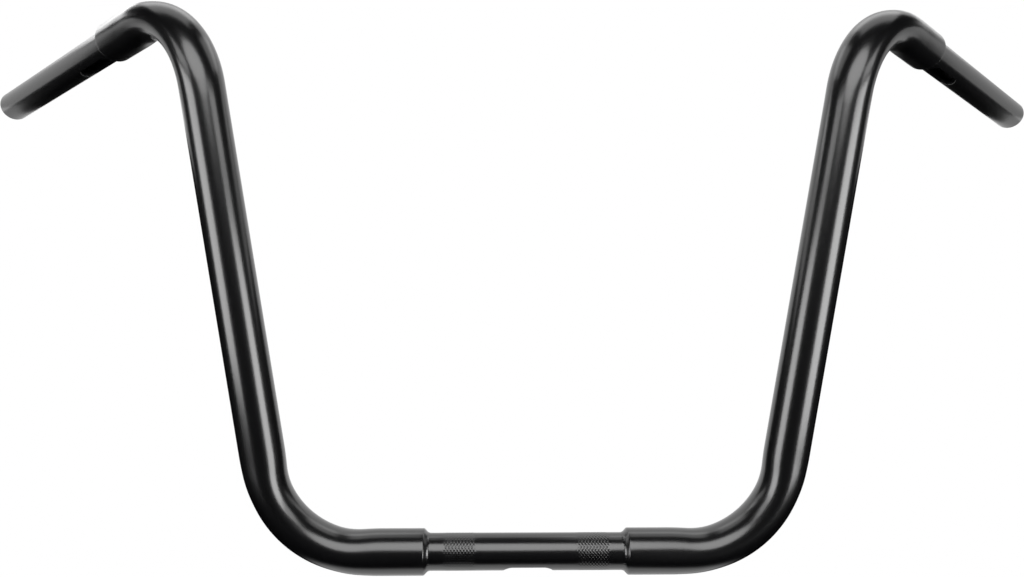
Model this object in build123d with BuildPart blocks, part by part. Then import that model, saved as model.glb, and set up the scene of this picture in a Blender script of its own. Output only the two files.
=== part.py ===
from build123d import *
from math import radians, tan
import os

# Ape hanger handlebar: a straight clamp tube, two twice-bent upright tubes and two straight grip tubes.
# Each thin tube has turned spigots that slide into the fat upright tubes. A fillet weld closes each shoulder.
# Millimetres. The origin is the middle of the clamp tube, on its axis: +X is to the right of the bar as its
# front is seen, +Y goes back to the rider and +Z goes up between the uprights.

# Tube stock
thin_diameter = 25.4  # in the risers and under the grips
thin_wall = 3.05
fat_wall = 3.175  # the fat tube's bore is the thin tube's diameter
spigot_gap = 0.2  # turned off a spigot's radius so that it slides in

# Centre line: straight runs, bends and the angles between them
clamp_half_span = 70.4  # middle of the bar to the end of an upright tube
lower_run = 45.1  # end of an upright tube to its lower bend
lower_bend_radius = 71.5
upright_lean = 9.5  # outwards from vertical, in degrees
upright_run = 275.8  # between an upright's two bends
upper_bend_radius = 59.0
grip_sweep = 41.0  # turned back from straight out, in degrees
grip_drop = 11.6  # below level, in degrees
upper_run = 44.4  # upper bend to the end of an upright tube
control_length = 186.9  # end of an upright tube to the end of the bar

# A bent tube is flattened in the plane of its bend and spread across it
lower_flattening = 1.6  # taken off the radius in the bend's plane
upper_flattening = 1.9
lower_spread = 0.8  # added to the radius across the bend's plane
upper_spread = 0.95
flattening_lead = 12.6  # straight length before a bend where the flattening starts
flattening_ramp = 36.0  # length over which it grows
bend_spans = 16  # lofted spans in a bend

# Shoulders
spigot_stop = 5.0  # end of a spigot to the start of the flattening
spigot_chamfer = 1.0
shoulder_bevel = 2.3  # at 45 degrees, off the outer edge of an upright tube's ends
shoulder_round = 1.5  # where the bevel meets the outside
weld_leg = 2.3  # along the thin tube
weld_hollow = 4.0  # radius of the weld's hollow face

# Wire slots and bar ends
centre_slot_length = 35.0
centre_slot_width = 12.7
centre_slot_offset = 1.5  # to the right of the middle
centre_slot_tilt = 20.0  # forward of straight down, in degrees
grip_slot_length = 43.0
grip_slot_width = 12.7
grip_slot_setback = 5.9  # from the end of the upright tube
slot_edge_round = 0.4
end_chamfer = 1.0

# Radii that follow from the tube stock
thin_radius = thin_diameter / 2
thin_bore = thin_radius - thin_wall
spigot_radius = thin_radius - spigot_gap
fat_bore = thin_radius
fat_radius = fat_bore + fat_wall
weld_height = fat_wall - shoulder_bevel

# Directions of the three straight runs, and how far each bend cuts its corner
out = Vector(1, 0, 0)
up = Vector(0, 0, 1).rotate(Axis.Y, upright_lean)
grip = out.rotate(Axis.Y, grip_drop).rotate(Axis.Z, grip_sweep)
lower_turn = out.get_angle(up)
upper_turn = up.get_angle(grip)
lower_cut = lower_bend_radius * tan(radians(lower_turn / 2))
upper_cut = upper_bend_radius * tan(radians(upper_turn / 2))

# Centre line of the right half, from the middle of the bar to its end
lower_corner = out * (clamp_half_span + lower_run + lower_cut)
upper_corner = lower_corner + up * (lower_cut + upright_run + upper_cut)
bar_end = upper_corner + grip * (upper_cut + upper_run + control_length)
bend_radii = [lower_bend_radius, upper_bend_radius]
with BuildLine() as right_half:
    FilletPolyline((0, 0, 0), lower_corner, upper_corner, bar_end, radius=bend_radii)
centre_line = right_half.wire()

# Distances along the centre line
lower_start = clamp_half_span + lower_run
lower_end = lower_start + lower_bend_radius * radians(lower_turn)
upper_start = lower_end + upright_run
upper_end = upper_start + upper_bend_radius * radians(upper_turn)
grip_shoulder = upper_end + upper_run
clamp_spigot_start = clamp_half_span - weld_leg
grip_spigot_start = grip_shoulder + weld_leg
clamp_spigot_end = lower_start - flattening_lead - spigot_stop
grip_spigot_end = upper_end + flattening_lead + spigot_stop
grip_slot_middle = grip_shoulder + grip_slot_setback + grip_slot_length / 2

# Directions square to each bend's plane
lower_across = out.cross(up).normalized()
upper_across = up.cross(grip).normalized()


def point_at(distance):
    """Point of the centre line at a distance from the middle of the bar."""
    return centre_line.position_at(distance, position_mode=PositionMode.LENGTH)


def section_plane(distance, across):
    """Plane square to the centre line at a distance from the middle, with its X axis along across."""
    along = centre_line.tangent_at(distance, position_mode=PositionMode.LENGTH)
    return Plane(point_at(distance), x_dir=across, z_dir=along)


def flattening_share(into_ramp):
    """Smooth growth of a bend's flattening from 0 to 1 over the ramp's length."""
    share = min(1.0, into_ramp / flattening_ramp)
    return share * share * (3 - 2 * share)


# Tube sections
with BuildSketch() as fat_section:
    Circle(fat_radius)
    Circle(fat_bore, mode=Mode.SUBTRACT)
with BuildSketch() as thin_section:
    Circle(thin_radius)
    Circle(thin_bore, mode=Mode.SUBTRACT)
with BuildSketch() as spigot_section:
    Circle(spigot_radius)
    Circle(thin_bore, mode=Mode.SUBTRACT)

# Upright tube: three straight runs with a lofted bend between each two
lower_from = lower_start - flattening_lead
lower_to = lower_end + flattening_lead
upper_from = upper_start - flattening_lead
upper_to = upper_end + flattening_lead
runs = [
    (clamp_half_span, lower_from, lower_across),
    (lower_to, upper_from, lower_across),
    (upper_to, grip_shoulder, upper_across),
]
bends = [
    (lower_from, lower_to, lower_across, lower_flattening, lower_spread),
    (upper_from, upper_to, upper_across, upper_flattening, upper_spread),
]
with BuildPart() as right_upright_tube:
    for start, end, across in runs:
        with BuildSketch(section_plane(start, across)):
            add(fat_section.sketch)
        extrude(amount=end - start)
    for start, end, across, flattening, spread in bends:
        for span in range(bend_spans + 1):
            distance = start + (end - start) * span / bend_spans
            share = flattening_share(min(distance - start, end - distance))
            wide = fat_radius + spread * share
            narrow = fat_radius - flattening * share
            with BuildSketch(section_plane(distance, across)):
                Ellipse(wide, narrow)
                Ellipse(wide - fat_wall, narrow - fat_wall, mode=Mode.SUBTRACT)
        loft()
    for trim, size in ((chamfer, shoulder_bevel), (fillet, shoulder_round)):
        outer_rims = right_upright_tube.edges().filter_by(GeomType.CIRCLE).group_by(SortBy.RADIUS)[-1]
        trim([outer_rims.sort_by(Axis.X)[0], outer_rims.sort_by(Axis.Y)[-1]], size)

# Clamp tube: a spigot at each end, turned from the toe of the weld, and the wire slot through its underside
slot_way = Vector(0, 0, -1).rotate(Axis.X, -centre_slot_tilt)
with BuildPart() as centre_clamp_tube:
    with BuildSketch(Plane.YZ):
        add(thin_section.sketch)
    extrude(amount=clamp_spigot_start, both=True)
    right_face = Plane.YZ.offset(clamp_spigot_start)
    left_face = Plane.YZ.offset(-clamp_spigot_start).rotated((0, 180, 0))
    with BuildSketch(right_face, left_face):
        add(spigot_section.sketch)
    extrude(amount=clamp_spigot_end - clamp_spigot_start)
    spigot_rims = centre_clamp_tube.edges().filter_by(GeomType.CIRCLE).group_by(SortBy.RADIUS)[1]
    chamfer([spigot_rims.sort_by(Axis.X)[0], spigot_rims.sort_by(Axis.X)[-1]], spigot_chamfer)
    with BuildSketch(Plane((centre_slot_offset, 0, 0), x_dir=out, z_dir=slot_way)):
        SlotOverall(centre_slot_length, centre_slot_width)
    extrude(amount=thin_diameter, mode=Mode.SUBTRACT)
    outside = centre_clamp_tube.faces().filter_by(GeomType.CYLINDER).sort_by(SortBy.RADIUS)[-1]
    fillet(outside.inner_wires()[0].edges(), slot_edge_round)

# Grip tube: a spigot at its inner end, a wire slot beside the shoulder and an open outer end
slot_way = grip.cross(Vector(0, 0, 1)).cross(grip) * -1
with BuildPart() as right_grip_tube:
    with BuildSketch(section_plane(grip_spigot_start, upper_across)):
        add(thin_section.sketch)
    extrude(amount=control_length - weld_leg)
    with BuildSketch(section_plane(grip_spigot_start, upper_across)):
        add(spigot_section.sketch)
    extrude(amount=grip_spigot_end - grip_spigot_start)
    rims = right_grip_tube.edges().filter_by(GeomType.CIRCLE).group_by(SortBy.RADIUS)
    spigot_rims = rims[1]
    outer_rims = rims[2]
    chamfer(spigot_rims.sort_by(Axis.Y)[0], spigot_chamfer)
    chamfer(outer_rims.sort_by(Axis.Y)[-1], end_chamfer)
    with BuildSketch(Plane(point_at(grip_slot_middle), x_dir=grip, z_dir=slot_way)):
        SlotOverall(grip_slot_length, grip_slot_width)
    extrude(amount=thin_diameter, mode=Mode.SUBTRACT)
    outside = right_grip_tube.faces().filter_by(GeomType.CYLINDER).sort_by(SortBy.RADIUS)[-1]
    fillet(outside.inner_wires()[0].edges(), slot_edge_round)

# Weld section: X is the distance from the tube's axis and Y runs along the thin tube from the shoulder.
# Its root fills the step where the spigot starts.
weld_toe = (thin_radius, weld_leg)
weld_top = (thin_radius + weld_height, 0)
with BuildSketch() as weld_section:
    with BuildLine():
        Polyline(weld_toe, (spigot_radius, weld_leg), (spigot_radius, 0), weld_top)
        RadiusArc(weld_top, weld_toe, weld_hollow)
    make_face()

# Welds: a hollow-faced fillet round each thin tube, against the end of the upright tube
with BuildPart() as right_clamp_weld:
    with BuildSketch(Plane(point_at(clamp_half_span), x_dir=lower_across, z_dir=out.cross(lower_across))):
        add(weld_section.sketch)
    revolve(axis=Axis.X)
with BuildPart() as right_grip_weld:
    with BuildSketch(Plane(point_at(grip_shoulder), x_dir=upper_across, z_dir=upper_across.cross(grip))):
        add(weld_section.sketch)
    revolve(axis=Axis(bar_end, grip))

os.makedirs("parts", exist_ok=True)
centre_clamp_tube.part.label = "centre_clamp_tube"
export_step(centre_clamp_tube.part, "parts/centre_clamp_tube.step")

# Every other piece is on the right, with its mirror image on the left
pairs = {
    "upright_tube": right_upright_tube,
    "grip_tube": right_grip_tube,
    "clamp_weld": right_clamp_weld,
    "grip_weld": right_grip_weld,
}
for name, right in pairs.items():
    with BuildPart() as left:
        mirror(right.part, about=Plane.YZ)
    right.part.label = "right_" + name
    left.part.label = "left_" + name
    export_step(right.part, "parts/right_" + name + ".step")
    export_step(left.part, "parts/left_" + name + ".step")
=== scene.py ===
from math import asin, atan2, cos, pi, radians, sin, sqrt, tan

import bpy
import numpy as np
from mathutils import Matrix, Quaternion, Vector


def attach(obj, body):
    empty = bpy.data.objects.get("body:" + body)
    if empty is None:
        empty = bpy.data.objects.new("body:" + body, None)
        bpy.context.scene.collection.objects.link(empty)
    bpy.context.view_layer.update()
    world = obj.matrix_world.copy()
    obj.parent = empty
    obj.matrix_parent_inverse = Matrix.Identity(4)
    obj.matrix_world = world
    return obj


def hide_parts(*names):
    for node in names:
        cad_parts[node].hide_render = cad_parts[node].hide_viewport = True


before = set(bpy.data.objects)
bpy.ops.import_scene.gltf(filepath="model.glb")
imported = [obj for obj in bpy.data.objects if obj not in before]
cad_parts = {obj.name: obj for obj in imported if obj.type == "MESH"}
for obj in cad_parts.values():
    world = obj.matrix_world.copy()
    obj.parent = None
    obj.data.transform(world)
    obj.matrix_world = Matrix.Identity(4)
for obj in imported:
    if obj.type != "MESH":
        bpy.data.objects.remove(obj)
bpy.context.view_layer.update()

# The view
# The bar is seen from its front, a little left of the middle and over half way up the uprights.
# The picture's centre lies below the lens axis, which the camera's shift gives.
mm = 0.001
camera_place = Vector((-28.806, -642.780, 247.768)) * mm
camera_yaw = radians(1.517)
camera_pitch = radians(-0.294)
camera_roll = radians(0.344)
picture_width = 1024
focal_pixels = 899.731
axis_offset_pixels = (-0.582, -78.608)
sensor_width = 36.0

ahead = Vector((sin(camera_yaw) * cos(camera_pitch), cos(camera_yaw) * cos(camera_pitch), sin(camera_pitch)))
level = Vector((cos(camera_yaw), -sin(camera_yaw), 0.0))
upward = level.cross(ahead)
picture_right = level * cos(camera_roll) + upward * sin(camera_roll)
picture_up = upward * cos(camera_roll) - level * sin(camera_roll)
camera = bpy.data.objects.new("photo_camera", bpy.data.cameras.new("photo_camera"))
camera.data.sensor_width = sensor_width
camera.data.lens = sensor_width * focal_pixels / picture_width
camera.data.shift_x = -axis_offset_pixels[0] / picture_width
camera.data.shift_y = axis_offset_pixels[1] / picture_width
camera.data.clip_start = 0.01
camera.data.clip_end = 50.0
turn = Matrix((picture_right, picture_up, -ahead)).transposed().to_4x4()
camera.matrix_world = Matrix.Translation(camera_place) @ turn
bpy.context.scene.collection.objects.link(camera)
bpy.context.scene.camera = camera
bpy.context.scene.view_settings.view_transform = "Standard"
bpy.context.scene.cycles.denoising_input_passes = "RGB"  # its other guides wipe out the fine knurl

# Clamp tube
# A straight length of one-inch steel tube, turned down at both ends to slide into the uprights. Two rolled
# knurl bands keep it from turning in the riser clamps, and a slot under its middle lets the wiring out.
thin_radius = 12.7
thin_bore = 9.65
spigot_radius = 12.5
spigot_chamfer = 1.0
clamp_toe = 68.1  # middle of the bar to the toe of a shoulder weld
clamp_spigot_end = 97.9
centre_slot = (35.0, 12.7)  # length and width
centre_slot_offset = 1.5
centre_slot_tilt = radians(20.0)
slot_edge_round = 0.4
slot_border = 2.5  # skin beyond each end of a slot that is laid out to follow its outline
slot_half_angle = radians(55.0)  # half of that skin's turn round the tube
knurl_from = 35.0
knurl_to = 60.0
knurl_fade = 3.0
knurl_pitch = 2.29  # from ridge to ridge along the tube
knurl_starts = 28  # ridges round the tube, each way
knurl_peak = 0.07  # of the flat-topped diamonds above the plain tube
knurl_depth = 0.20  # from their tops to the bottom of the grooves
knurl_groove = 0.35  # half width of a groove, in pitches
knurl_divisions = 10  # mesh steps in a pitch
plain_step = 2.5  # mesh steps along a plain skin, along a slot and along a bore
slot_step = 1.5
bore_step = 6.0
slot_edge_steps = 4
sharp_edge = radians(38.0)


def linear(hex_colour):
    """Linear RGBA of an sRGB hex colour."""
    channels = [int(hex_colour[i:i + 2], 16) / 255 for i in (1, 3, 5)]
    return [c / 12.92 if c <= 0.04045 else ((c + 0.055) / 1.055) ** 2.4 for c in channels] + [1.0]


def add_node(tree, kind, settings, links):
    """Adds a node, sets its inputs or its own properties, and links inputs to other nodes' outputs."""
    node = tree.nodes.new(kind)
    for name, value in settings.items():
        if isinstance(name, int) or name in node.inputs:
            node.inputs[name].default_value = value
        else:
            setattr(node, name, value)
    for name, output in links.items():
        tree.links.new(output, node.inputs[name])
    return node


# Satin black powder coat, baked on blasted steel. It gives a smooth skin with a faint orange peel and
# clear but soft-edged reflections. The peel's cells are about 1.6 mm and the specks of flow 0.25 mm.
# The IOR is above a real coat's 1.5, so that the long bands are bright enough under a plain light.
orange_peel = 1.6
peel_height = 0.02
peel_strength = 0.10
flow_speck = 0.25
coat_roughness = (0.20, 0.26)
coat_ior = 1.8
powder_coat = bpy.data.materials.new("satin_black_powder_coat")
powder_coat.use_nodes = True
tree = powder_coat.node_tree
tree.nodes.clear()
on_bar = add_node(tree, "ShaderNodeTexCoord", {}, {}).outputs["Object"]
peel = add_node(tree, "ShaderNodeTexNoise", {"Scale": 1 / (orange_peel * mm), "Detail": 1.0},
                {"Vector": on_bar}).outputs["Fac"]
speck = add_node(tree, "ShaderNodeTexNoise", {"Scale": 1 / (flow_speck * mm), "Detail": 2.0},
                 {"Vector": on_bar}).outputs["Fac"]
tint = add_node(tree, "ShaderNodeMix", {"data_type": "RGBA", 6: linear("#050506"), 7: linear("#09090a")},
                {"Factor": peel})
gloss = add_node(tree, "ShaderNodeMapRange", {"To Min": coat_roughness[0], "To Max": coat_roughness[1]},
                 {"Value": speck})
relief = add_node(tree, "ShaderNodeBump", {"Strength": peel_strength, "Distance": peel_height * mm},
                  {"Height": peel})
coat_links = {
    "Base Color": tint.outputs[2],
    "Roughness": gloss.outputs["Result"],
    "Normal": relief.outputs["Normal"],
}
coat = add_node(tree, "ShaderNodeBsdfPrincipled", {"IOR": coat_ior}, coat_links)
add_node(tree, "ShaderNodeOutputMaterial", {}, {"Surface": coat.outputs["BSDF"]})


def coated_piece(name, points, faces, node):
    """Makes a smooth coated piece from points in millimetres. It stands for a CAD node."""
    mesh = bpy.data.meshes.new(name)
    mesh.from_pydata((np.asarray(points) * mm).tolist(), [], faces)
    mesh.shade_smooth()
    mesh.set_sharp_from_angle(angle=sharp_edge)
    mesh.materials.append(powder_coat)
    piece = bpy.data.objects.new(name, mesh)
    bpy.context.scene.collection.objects.link(piece)
    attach(piece, "root")
    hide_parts(node)


def stations(start, end, step):
    """Evenly spaced distances from start to end, no further apart than step."""
    return np.linspace(start, end, int(np.ceil((end - start) / step)) + 1)


def slot_outline(length, width, count):
    """Points round a slot, evenly spaced, from the middle of one long side."""
    half = (length - width) / 2
    radius = width / 2
    arc = pi * radius
    outline = []
    for d in np.arange(count) * (4 * half + 2 * arc) / count:
        if d < half:
            outline.append((d, radius))
        elif d < half + arc:
            a = (d - half) / radius
            outline.append((half + radius * sin(a), radius * cos(a)))
        elif d < 3 * half + arc:
            outline.append((2 * half + arc - d, -radius))
        elif d < 3 * half + 2 * arc:
            a = (d - 3 * half - arc) / radius
            outline.append((-half - radius * sin(a), -radius * cos(a)))
        else:
            outline.append((d - 4 * half - 2 * arc, radius))
    return np.array(outline)


def smooth(x, angle):
    """No bumps at all, for a bore or a plain tube."""
    return 0.0


def slotted_tube(outside, inside, slot_middle, slot_size, around, bumps):
    """Points and faces of a tube along X, with a slot through its wall on the +Z side.

    The outside and inside are (x, radius) profiles from the low end to the high end, and both have
    stations at the ends of the skin round the slot. bumps(x, angle) is added to the outside's radius.
    """
    points = []
    faces = []
    middle = around // 2
    reach = round(around * slot_half_angle / (2 * pi))
    slack = 1e-6
    low = slot_middle - slot_size[0] / 2 - slot_border - slack
    high = slot_middle + slot_size[0] / 2 + slot_border + slack
    angles = 2 * pi * (np.arange(around) - middle) / around

    def lay(loop):
        first = len(points)
        points.extend(loop)
        return list(range(first, len(points)))

    def join(a, b):
        for i in range(len(a)):
            k = (i + 1) % len(a)
            faces.append((a[i], b[i], b[k], a[k]))

    def skin(profile, raised, outward):
        rows = []
        for x, radius in profile:
            radii = [radius + raised(x, a) for a in angles]
            rows.append(lay([(x, r * sin(a), r * cos(a)) for r, a in zip(radii, angles)]))
        first = min(i for i, (x, r) in enumerate(profile) if x > low)
        last = max(i for i, (x, r) in enumerate(profile) if x < high)
        for i in range(len(profile) - 1):
            for j in range(around):
                if first <= i < last and middle - reach <= j < middle + reach:
                    continue
                k = (j + 1) % around
                quad = (rows[i][j], rows[i + 1][j], rows[i + 1][k], rows[i][k])
                faces.append(quad if outward else quad[::-1])
        half = (first + last) // 2
        border = [rows[i][middle + reach] for i in range(half, last)]
        border += [rows[last][j] for j in range(middle + reach, middle - reach, -1)]
        border += [rows[i][middle - reach] for i in range(last, first, -1)]
        border += [rows[first][j] for j in range(middle - reach, middle + reach)]
        border += [rows[i][middle + reach] for i in range(first, half)]
        return rows, border

    def patch(border, edge, radius, outward, steps):
        loop = border
        for share in np.arange(1, steps) / steps:
            between = []
            for a, b in zip(border, edge):
                turns = [atan2(points[v][1], points[v][2]) for v in (a, b)]
                angle = turns[0] * (1 - share) + turns[1] * share
                x = points[a][0] * (1 - share) + points[b][0] * share
                between.append((x, radius * sin(angle), radius * cos(angle)))
            following = lay(between)
            join(*((loop, following) if outward else (following, loop)))
            loop = following
        join(*((loop, edge) if outward else (edge, loop)))

    def wall_loop(outline, radius):
        return lay([(slot_middle + x, w, sqrt(radius * radius - w * w)) for x, w in outline])

    outer_rows, outer_border = skin(outside, bumps, outward=True)
    inner_rows, inner_border = skin(inside, smooth, outward=False)
    count = len(outer_border)
    straight = slot_outline(*slot_size, count)
    wide = slot_outline(slot_size[0] + 2 * slot_edge_round, slot_size[1] + 2 * slot_edge_round, count)
    loop = wall_loop(wide, thin_radius)
    patch(outer_border, loop, thin_radius, outward=True, steps=6)
    for a in (pi / 2) * np.arange(1, slot_edge_steps + 1) / slot_edge_steps:
        rounded = straight + (wide - straight) * (1 - sin(a))
        below = wall_loop(rounded, thin_radius - slot_edge_round * (1 - cos(a)))
        join(loop, below)
        loop = below
    foot = wall_loop(straight, thin_bore)
    join(loop, foot)
    patch(inner_border, foot, thin_bore, outward=False, steps=4)
    join(inner_rows[0], outer_rows[0])
    join(outer_rows[-1], inner_rows[-1])
    return np.array(points), faces


def from_groove(turns):
    """Distance to the nearest groove of one set, in pitches."""
    return abs((turns + 0.5) % 1.0 - 0.5)


def knurl(x, angle):
    """Height of the rolled diamonds over the plain tube. The bands fade out at their edges."""
    share = min(1.0, max(0.0, min(abs(x) - knurl_from, knurl_to - abs(x)) / knurl_fade))
    if share == 0.0:
        return 0.0
    along = (abs(x) - knurl_from) / knurl_pitch
    round_tube = knurl_starts * angle / (2 * pi)
    nearest = min(from_groove(along + round_tube), from_groove(along - round_tube))
    return share * (knurl_peak - knurl_depth * max(0.0, 1 - nearest / knurl_groove))


slot_low = centre_slot_offset - centre_slot[0] / 2 - slot_border
slot_high = centre_slot_offset + centre_slot[0] / 2 + slot_border
slot_stations = stations(slot_low, slot_high, slot_step)
knurl_step = knurl_pitch / knurl_divisions
knurl_around = knurl_starts * knurl_divisions
body = [
    stations(-clamp_toe, -knurl_to, plain_step),
    stations(-knurl_to, -knurl_from, knurl_step),
    stations(-knurl_from, slot_low, plain_step),
    slot_stations,
    stations(slot_high, knurl_from, plain_step),
    stations(knurl_from, knurl_to, knurl_step),
    stations(knurl_to, clamp_toe, plain_step),
]
spigot = [
    (clamp_toe, spigot_radius),
    (clamp_spigot_end - spigot_chamfer, spigot_radius),
    (clamp_spigot_end, spigot_radius - spigot_chamfer),
]
outside = [(-x, r) for x, r in reversed(spigot)]
outside += [(x, thin_radius) for x in np.unique(np.concatenate(body))]
outside += spigot
bore = [
    stations(-clamp_spigot_end, slot_low, bore_step),
    slot_stations,
    stations(slot_high, clamp_spigot_end, bore_step),
]
inside = [(x, thin_bore) for x in np.unique(np.concatenate(bore))]
points, faces = slotted_tube(outside, inside, centre_slot_offset, centre_slot, knurl_around, knurl)
slot_way = np.array([0.0, -sin(centre_slot_tilt), -cos(centre_slot_tilt)])
out = np.array([1.0, 0.0, 0.0])
points = points @ np.array([out, np.cross(slot_way, out), slot_way])
coated_piece("clamp_tube", points, faces, "centre_clamp_tube")

# Upright tubes
# Inch-and-a-quarter steel tube with an eighth-inch wall, bent cold at its foot and at its top, and sleeved
# over the thin tubes. Each bend is flattened in its own plane and a little wider across it.
fat_radius = 15.875
fat_wall = 3.175
clamp_half_span = 70.4
lower_run = 45.1
lower_bend_radius = 71.5
upright_lean = radians(9.5)
upright_run = 275.8
upper_bend_radius = 59.0
grip_sweep = radians(41.0)
grip_drop = radians(11.6)
upper_run = 44.4
lower_squeeze = (1.6, 0.8)  # off the radius in the bend's plane, and on to it across the plane
upper_squeeze = (1.9, 0.95)
squeeze_lead = 12.6
squeeze_ramp = 36.0
shoulder_bevel = 2.3
shoulder_round = 1.5
shoulder_round_steps = 6
fat_around = 128
fat_bore_step = 5.0

up = np.array([sin(upright_lean), 0.0, cos(upright_lean)])
grip = np.array([cos(grip_drop) * cos(grip_sweep), cos(grip_drop) * sin(grip_sweep), -sin(grip_drop)])
lower_across = np.cross(out, up) / np.linalg.norm(np.cross(out, up))
upper_across = np.cross(up, grip) / np.linalg.norm(np.cross(up, grip))
lower_turn = float(np.arccos(out @ up))
upper_turn = float(np.arccos(up @ grip))
lower_start = clamp_half_span + lower_run
lower_end = lower_start + lower_bend_radius * lower_turn
upper_start = lower_end + upright_run
upper_end = upper_start + upper_bend_radius * upper_turn
grip_shoulder = upper_end + upper_run


def turned(vector, axis, angle):
    """A vector square to a unit axis, turned about it."""
    return vector * cos(angle) + np.cross(axis, vector) * sin(angle)


lower_centre = out * lower_start + np.cross(lower_across, out) * lower_bend_radius
upright_foot = lower_centre - np.cross(lower_across, up) * lower_bend_radius
upright_top = upright_foot + up * upright_run
upper_centre = upright_top + np.cross(upper_across, up) * upper_bend_radius
grip_foot = upper_centre - np.cross(upper_across, grip) * upper_bend_radius


def along_bar(distance):
    """Centre and direction of the right half at a distance from the middle, and a side carried along it."""
    if distance <= lower_start:
        return out * distance, out, lower_across
    if distance <= lower_end:
        direction = turned(out, lower_across, (distance - lower_start) / lower_bend_radius)
        return lower_centre - np.cross(lower_across, direction) * lower_bend_radius, direction, lower_across
    if distance <= upper_start:
        return upright_foot + up * (distance - lower_end), up, lower_across
    angle = min(upper_turn, (distance - upper_start) / upper_bend_radius)
    direction = turned(up, upper_across, angle)
    lengthwise = upper_across * (lower_across @ upper_across)
    side = lengthwise + turned(lower_across - lengthwise, upper_across, angle)
    if distance <= upper_end:
        return upper_centre - np.cross(upper_across, direction) * upper_bend_radius, direction, side
    return grip_foot + grip * (distance - upper_end), grip, side


def bar_ring(distance, radius):
    """Points round the centre line at a distance, flattened where the tube is bent."""
    centre, direction, side = along_bar(distance)
    lower = distance < (lower_end + upper_start) / 2
    normal = lower_across if lower else upper_across
    narrower, wider = lower_squeeze if lower else upper_squeeze
    start = (lower_start if lower else upper_start) - squeeze_lead
    end = (lower_end if lower else upper_end) + squeeze_lead
    share = min(1.0, max(0.0, min(distance - start, end - distance) / squeeze_ramp))
    share = share * share * (3 - 2 * share)
    from_side = atan2(normal @ np.cross(direction, side), normal @ side)
    angle = 2 * pi * np.arange(fat_around) / fat_around - from_side
    across = np.outer((radius + wider * share) * np.cos(angle), normal)
    in_plane = np.outer((radius - narrower * share) * np.sin(angle), np.cross(direction, normal))
    return centre + across + in_plane


def closed_wall(rings):
    """Points and faces of rings joined each to the next, and the last to the first."""
    count = len(rings[0])
    faces = []
    for i in range(len(rings)):
        a = i * count
        b = (i + 1) % len(rings) * count
        for j in range(count):
            k = (j + 1) % count
            faces.append((a + j, a + k, b + k, b + j))
    return np.vstack(rings), faces


def mirrored(points, faces):
    """The same piece on the left of the bar."""
    return points * np.array([-1.0, 1.0, 1.0]), [face[::-1] for face in faces]


round_start = shoulder_bevel + shoulder_round * tan(pi / 8)
rim = []
for a in np.linspace(0, pi / 4, shoulder_round_steps + 1):
    rim.append((round_start - shoulder_round * sin(a), shoulder_round * (1 - cos(a))))
rim.append((0.0, shoulder_bevel))
rings = [bar_ring(clamp_half_span + along, fat_radius - inward) for along, inward in reversed(rim)]
between_rims = stations(clamp_half_span + round_start, grip_shoulder - round_start, plain_step)[1:-1]
rings += [bar_ring(d, fat_radius) for d in between_rims]
rings += [bar_ring(grip_shoulder - along, fat_radius - inward) for along, inward in rim]
back_through_bore = stations(clamp_half_span, grip_shoulder, fat_bore_step)[::-1]
rings += [bar_ring(d, fat_radius - fat_wall) for d in back_through_bore]
points, faces = closed_wall(rings)
coated_piece("right_upright", points, faces, "right_upright_tube")
coated_piece("left_upright", *mirrored(points, faces), "left_upright_tube")

# Grip tubes
# One-inch steel tube with a turned spigot in the upright, and a chamfered open end for the rider's hand.
# A slot under the tube, beside the shoulder, lets the switch wiring into the bar.
control_length = 186.9
weld_leg = 2.3
end_chamfer = 1.0
grip_slot = (43.0, 12.7)
grip_slot_setback = 5.9
spigot_stop = 5.0  # end of the spigot to the start of the bend's flattening
grip_around = 160

grip_spigot_end = squeeze_lead + spigot_stop - upper_run
slot_middle = grip_slot_setback + grip_slot[0] / 2
slot_low = grip_slot_setback - slot_border
slot_high = grip_slot_setback + grip_slot[0] + slot_border
slot_stations = stations(slot_low, slot_high, slot_step)
body = [
    stations(weld_leg, slot_low, plain_step),
    slot_stations,
    stations(slot_high, control_length - end_chamfer, plain_step),
]
outside = [
    (grip_spigot_end, spigot_radius - spigot_chamfer),
    (grip_spigot_end + spigot_chamfer, spigot_radius),
    (weld_leg, spigot_radius),
]
outside += [(x, thin_radius) for x in np.unique(np.concatenate(body))]
outside += [(control_length, thin_radius - end_chamfer)]
bore = [
    stations(grip_spigot_end, slot_low, bore_step),
    slot_stations,
    stations(slot_high, control_length, bore_step),
]
inside = [(x, thin_bore) for x in np.unique(np.concatenate(bore))]
points, faces = slotted_tube(outside, inside, slot_middle, grip_slot, grip_around, smooth)
slot_way = grip * grip[2] - np.array([0.0, 0.0, 1.0])
slot_way /= np.linalg.norm(slot_way)
points = along_bar(grip_shoulder)[0] + points @ np.array([grip, np.cross(slot_way, grip), slot_way])
coated_piece("right_grip_tube_skin", points, faces, "right_grip_tube")
coated_piece("left_grip_tube_skin", *mirrored(points, faces), "left_grip_tube")

# Shoulder welds
# A small hollow-faced fillet, laid by machine round each thin tube where the upright ends, and coated over.
# Its face has the faint ripple of a turned weld.
weld_height = fat_wall - shoulder_bevel
weld_hollow = 4.0  # radius of the hollow face
weld_face_steps = 8
weld_around = 240
ripple_length = 1.9
ripple_height = 0.03

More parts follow.
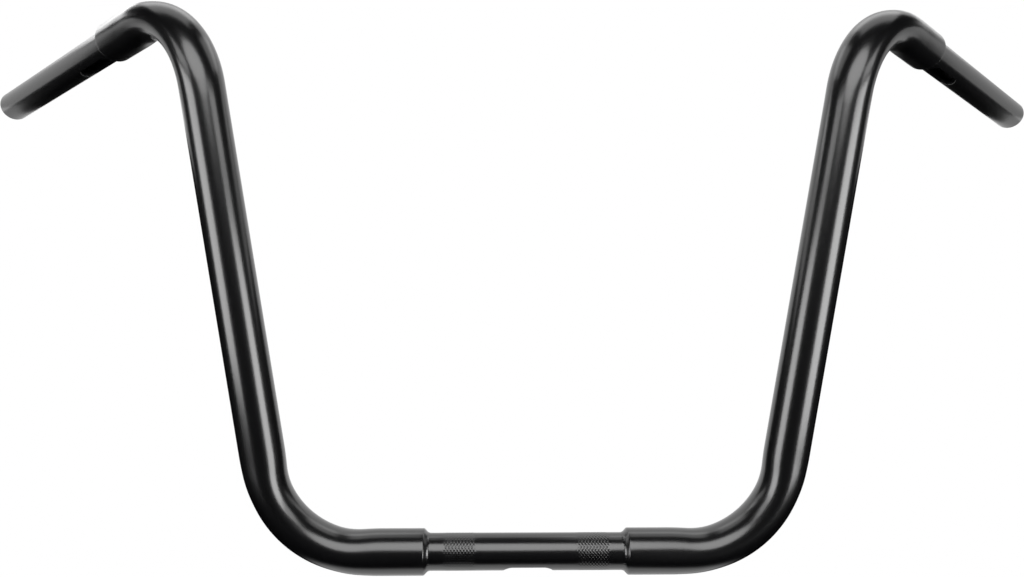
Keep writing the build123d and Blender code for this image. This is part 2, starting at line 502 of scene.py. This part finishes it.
toe = np.array([thin_radius, weld_leg])
top = np.array([thin_radius + weld_height, 0.0])
chord = np.linalg.norm(top - toe)
outward = np.array([weld_leg, weld_height]) / chord
hollow_centre = (toe + top) / 2 + outward * sqrt(weld_hollow ** 2 - (chord / 2) ** 2)
hollow_half_angle = asin(chord / 2 / weld_hollow)
hollow_middle = atan2(-outward[1], -outward[0])
face_angles = hollow_middle + np.linspace(-hollow_half_angle, hollow_half_angle, weld_face_steps + 1)
section = [hollow_centre + weld_hollow * np.array([cos(a), sin(a)]) for a in face_angles]
section += [np.array([spigot_radius, 0.0]), np.array([spigot_radius, weld_leg])]
ripples = round(2 * pi * thin_radius / ripple_length)
weld_angles = 2 * pi * np.arange(weld_around) / weld_around


def weld(centre, direction, side):
    """Points and faces of a weld round a thin tube that leaves the shoulder in a direction."""
    other = np.cross(direction, side)
    rings = []
    for i, (radius, along) in enumerate(section):
        share = sin(pi * i / weld_face_steps) if 0 < i < weld_face_steps else 0.0
        radii = radius + ripple_height * share * np.cos(ripples * weld_angles)
        ring = np.outer(radii * np.cos(weld_angles), side) + np.outer(radii * np.sin(weld_angles), other)
        rings.append(centre + direction * along + ring)
    points, faces = closed_wall(rings)
    return points, [face[::-1] for face in faces]


points, faces = weld(out * clamp_half_span, -out, lower_across)
coated_piece("right_clamp_shoulder_weld", points, faces, "right_clamp_weld")
coated_piece("left_clamp_shoulder_weld", *mirrored(points, faces), "left_clamp_weld")
points, faces = weld(along_bar(grip_shoulder)[0], grip, upper_across)
coated_piece("right_grip_shoulder_weld", points, faces, "right_grip_weld")
coated_piece("left_grip_shoulder_weld", *mirrored(points, faces), "left_grip_weld")

# Studio
# Two side softboxes and an oval one high over the camera draw the long soft bands on the tubes, with dark
# space between them. White panels stand behind the bar and hang over it, and a paper floor lies below it.
bar_middle = Vector((0.0, 0.0, 0.2))
left_place = Vector((-0.92, -0.60, 0.15))
right_place = Vector((0.84, -0.70, 0.10))
front_place = Vector((0.0, -0.84, 0.91))
left_fill_place = Vector((-0.99, -0.84, 0.75))
right_fill_place = Vector((0.99, -0.84, 0.75))
fill_size = (0.70, 0.35)


def softbox(name, place, facing, size, brightness, shape="RECTANGLE", roll=0.0):
    """Adds an evenly lit panel in metres, rolled about its own axis. White paper has a brightness of 1."""
    width, height = size
    lamp = bpy.data.objects.new(name, bpy.data.lights.new(name, "AREA"))
    lamp.data.shape = shape
    lamp.data.size = width
    lamp.data.size_y = height
    area = width * height * (pi / 4 if shape == "ELLIPSE" else 1.0)
    lamp.data.energy = brightness * pi * area
    lamp.location = place
    lamp.rotation_mode = "QUATERNION"
    lamp.rotation_quaternion = (-facing).to_track_quat("Z", "Y") @ Quaternion((0.0, 0.0, 1.0), roll)
    lamp.visible_camera = False
    bpy.context.scene.collection.objects.link(lamp)


softbox("left_softbox", left_place, bar_middle - left_place, size=(0.64, 0.58), brightness=4.8)
softbox("right_softbox", right_place, bar_middle - right_place, size=(0.66, 0.66), brightness=5.7)
softbox("front_softbox", front_place, bar_middle - front_place, size=(1.10, 0.95), brightness=3.2,
        shape="ELLIPSE")
softbox("left_fill", left_fill_place, bar_middle - left_fill_place, fill_size, brightness=2.3)
softbox("right_fill", right_fill_place, bar_middle - right_fill_place, fill_size, brightness=2.5)

# Three panels stand behind the bar. A wing with a narrow strip over it stands behind each grip, and
# a ceiling panel hangs over each side.
forward = Vector((0.0, -1.0, 0.0))
downward = Vector((0.0, 0.0, -1.0))
from_left = Vector((0.75, -0.661, 0.0))
from_right = Vector((-0.75, -0.661, 0.0))
wing_roll = radians(15.0)
side_panel_size = (0.49, 0.65)
wing_size = (0.51, 0.22)
strip_size = (0.27, 0.06)
ceiling_size = (0.68, 0.70)
softbox("back_panel", Vector((0.0, 0.5, 0.5)), forward, size=(0.74, 1.3), brightness=1.0)
softbox("left_back_panel", Vector((-0.615, 0.5, 0.875)), forward, side_panel_size, brightness=0.8)
softbox("right_back_panel", Vector((0.615, 0.5, 0.875)), forward, side_panel_size, brightness=0.8)
softbox("left_wing", Vector((-0.581, 0.295, 0.397)), from_left, wing_size, brightness=0.96, roll=-wing_roll)
softbox("left_strip", Vector((-0.577, 0.300, 0.543)), from_left, strip_size, brightness=3.0, roll=-wing_roll)
softbox("right_wing", Vector((0.581, 0.295, 0.397)), from_right, wing_size, brightness=0.69, roll=wing_roll)
softbox("right_strip", Vector((0.577, 0.300, 0.543)), from_right, strip_size, brightness=0.6, roll=wing_roll)
softbox("left_ceiling", Vector((-0.46, 0.4, 1.0)), downward, ceiling_size, brightness=0.97)
softbox("right_ceiling", Vector((0.46, 0.4, 1.0)), downward, ceiling_size, brightness=0.97)

# A small oval card stands just past each bar end, and turns the underside of its last inch grey.
card_gap = 0.020
card_drop = 0.010
card_drop_angle = radians(24.0)
card_roll = radians(26.5)
card_height_share = 0.62  # of the card's width
bar_end = along_bar(grip_shoulder + control_length)[0] * mm
for side, name, card_width in ((-1.0, "left_end_card", 0.074), (1.0, "right_end_card", 0.066)):
    along_grip = Vector((side * grip[0], grip[1], grip[2]))
    card_up = (Vector((0.0, 0.0, 1.0)) - along_grip * along_grip.z).normalized()
    card_side = card_up.cross(along_grip) * side
    drop = card_side * sin(card_drop_angle) - card_up * cos(card_drop_angle)
    place = Vector((side * bar_end[0], bar_end[1], bar_end[2])) + along_grip * card_gap + drop * card_drop
    card_size = (card_width, card_height_share * card_width)
    softbox(name, place, -along_grip, card_size, brightness=0.9, shape="ELLIPSE", roll=side * card_roll)

# White seamless paper, matt and plain, as the camera sees it. To reflections the floor is painted: a glowing
# white oval pool under the bar's middle is a painted pool of light, and the rest is painted black. The bar's
# shadow is strongest at the pool's centre and fades outwards, until the paper is as white as the space
# behind it.
floor_height = -0.6
floor_half_size = 1.2
painted_pool_centre = (0.0, 0.25)
painted_pool_half_size = (0.42, 0.52)
painted_pool_fade = (0.8, 1.2)  # where the painted glow pool starts and ends its fade, in pool half sizes
shadow_fade = (0.2, 2.1)  # the same for the shadow
shadow_share = 0.3
paper_and_painted_pool = bpy.data.materials.new("white_seamless_paper_with_painted_pool")
paper_and_painted_pool.use_nodes = True
tree = paper_and_painted_pool.node_tree
tree.nodes.clear()
rays = add_node(tree, "ShaderNodeLightPath", {}, {}).outputs
on_floor = add_node(tree, "ShaderNodeTexCoord", {}, {}).outputs["Object"]
painted_pool_scale = (1 / painted_pool_half_size[0], 1 / painted_pool_half_size[1], 0.0)
painted_pool_shift = (-painted_pool_centre[0] * painted_pool_scale[0], -painted_pool_centre[1] * painted_pool_scale[1], 0.0)
from_centre = add_node(tree, "ShaderNodeVectorMath",
                       {"operation": "MULTIPLY_ADD", 1: painted_pool_scale, 2: painted_pool_shift}, {0: on_floor})
reach = add_node(tree, "ShaderNodeVectorMath", {"operation": "LENGTH"},
                 {0: from_centre.outputs["Vector"]}).outputs["Value"]
painted_pool_range = {"interpolation_type": "SMOOTHSTEP", "From Min": painted_pool_fade[0], "From Max": painted_pool_fade[1],
              "To Min": 1.0, "To Max": 0.0}
# Mask of the painted pool of light: where the floor glows white to reflections.
painted_pool_mask = add_node(tree, "ShaderNodeMapRange", painted_pool_range, {"Value": reach})
shadow_range = {"interpolation_type": "SMOOTHSTEP", "From Min": shadow_fade[0], "From Max": shadow_fade[1],
                "To Min": shadow_share, "To Max": 0.0}
shadow = add_node(tree, "ShaderNodeMapRange", shadow_range, {"Value": reach})
matt = add_node(tree, "ShaderNodeBsdfDiffuse", {"Color": linear("#f2f2f2")}, {}).outputs[0]
# White emission: plain white paper to the camera, and the painted glow of the pool in reflections.
paper_white_and_painted_glow = add_node(tree, "ShaderNodeEmission", {"Color": linear("#ffffff"), "Strength": 1.0}, {}).outputs[0]
# Black emission: painted darkness that reflections see on the floor round the pool.
painted_dark = add_node(tree, "ShaderNodeEmission", {"Color": linear("#000000"), "Strength": 1.0}, {}).outputs[0]
# The floor in reflections: a painted white glow inside the pool, painted black round it.
painted_floor_reflection = add_node(tree, "ShaderNodeMixShader", {}, {0: painted_pool_mask.outputs["Result"], 1: painted_dark, 2: paper_white_and_painted_glow})
seen_floor = add_node(tree, "ShaderNodeMixShader", {}, {0: shadow.outputs["Result"], 1: paper_white_and_painted_glow, 2: matt})
seen = add_node(tree, "ShaderNodeMath", {"operation": "MAXIMUM"},
                {0: rays["Is Camera Ray"], 1: rays["Is Transmission Ray"]})
unmirrored = add_node(tree, "ShaderNodeMixShader", {},
                      {0: seen.outputs[0], 1: matt, 2: seen_floor.outputs[0]})
whole_floor = add_node(tree, "ShaderNodeMixShader", {},
                       {0: rays["Is Glossy Ray"], 1: unmirrored.outputs[0], 2: painted_floor_reflection.outputs[0]})
add_node(tree, "ShaderNodeOutputMaterial", {}, {"Surface": whole_floor.outputs[0]})
corners = [(-1, -1), (1, -1), (1, 1), (-1, 1)]
floor_points = [(x * floor_half_size, y * floor_half_size, floor_height) for x, y in corners]
floor_mesh = bpy.data.meshes.new("studio_floor")
floor_mesh.from_pydata(floor_points, [], [(0, 1, 2, 3)])
floor_mesh.materials.append(paper_and_painted_pool)
floor = bpy.data.objects.new("studio_floor", floor_mesh)
bpy.context.scene.collection.objects.link(floor)

# The space beyond is white where the camera looks into it, and almost dark as light and in reflections.
world = bpy.data.worlds.new("studio_world")
bpy.context.scene.world = world
world.use_nodes = True
tree = world.node_tree
tree.nodes.clear()
rays = add_node(tree, "ShaderNodeLightPath", {}, {}).outputs
seen = add_node(tree, "ShaderNodeMath", {"operation": "MAXIMUM"},
                {0: rays["Is Camera Ray"], 1: rays["Is Transmission Ray"]})
beyond = add_node(tree, "ShaderNodeMix", {"data_type": "RGBA", 6: linear("#191919"), 7: linear("#ffffff")},
                  {"Factor": seen.outputs[0]})
sky = add_node(tree, "ShaderNodeBackground", {"Strength": 1.0}, {"Color": beyond.outputs[2]})
add_node(tree, "ShaderNodeOutputWorld", {}, {"Surface": sky.outputs[0]})
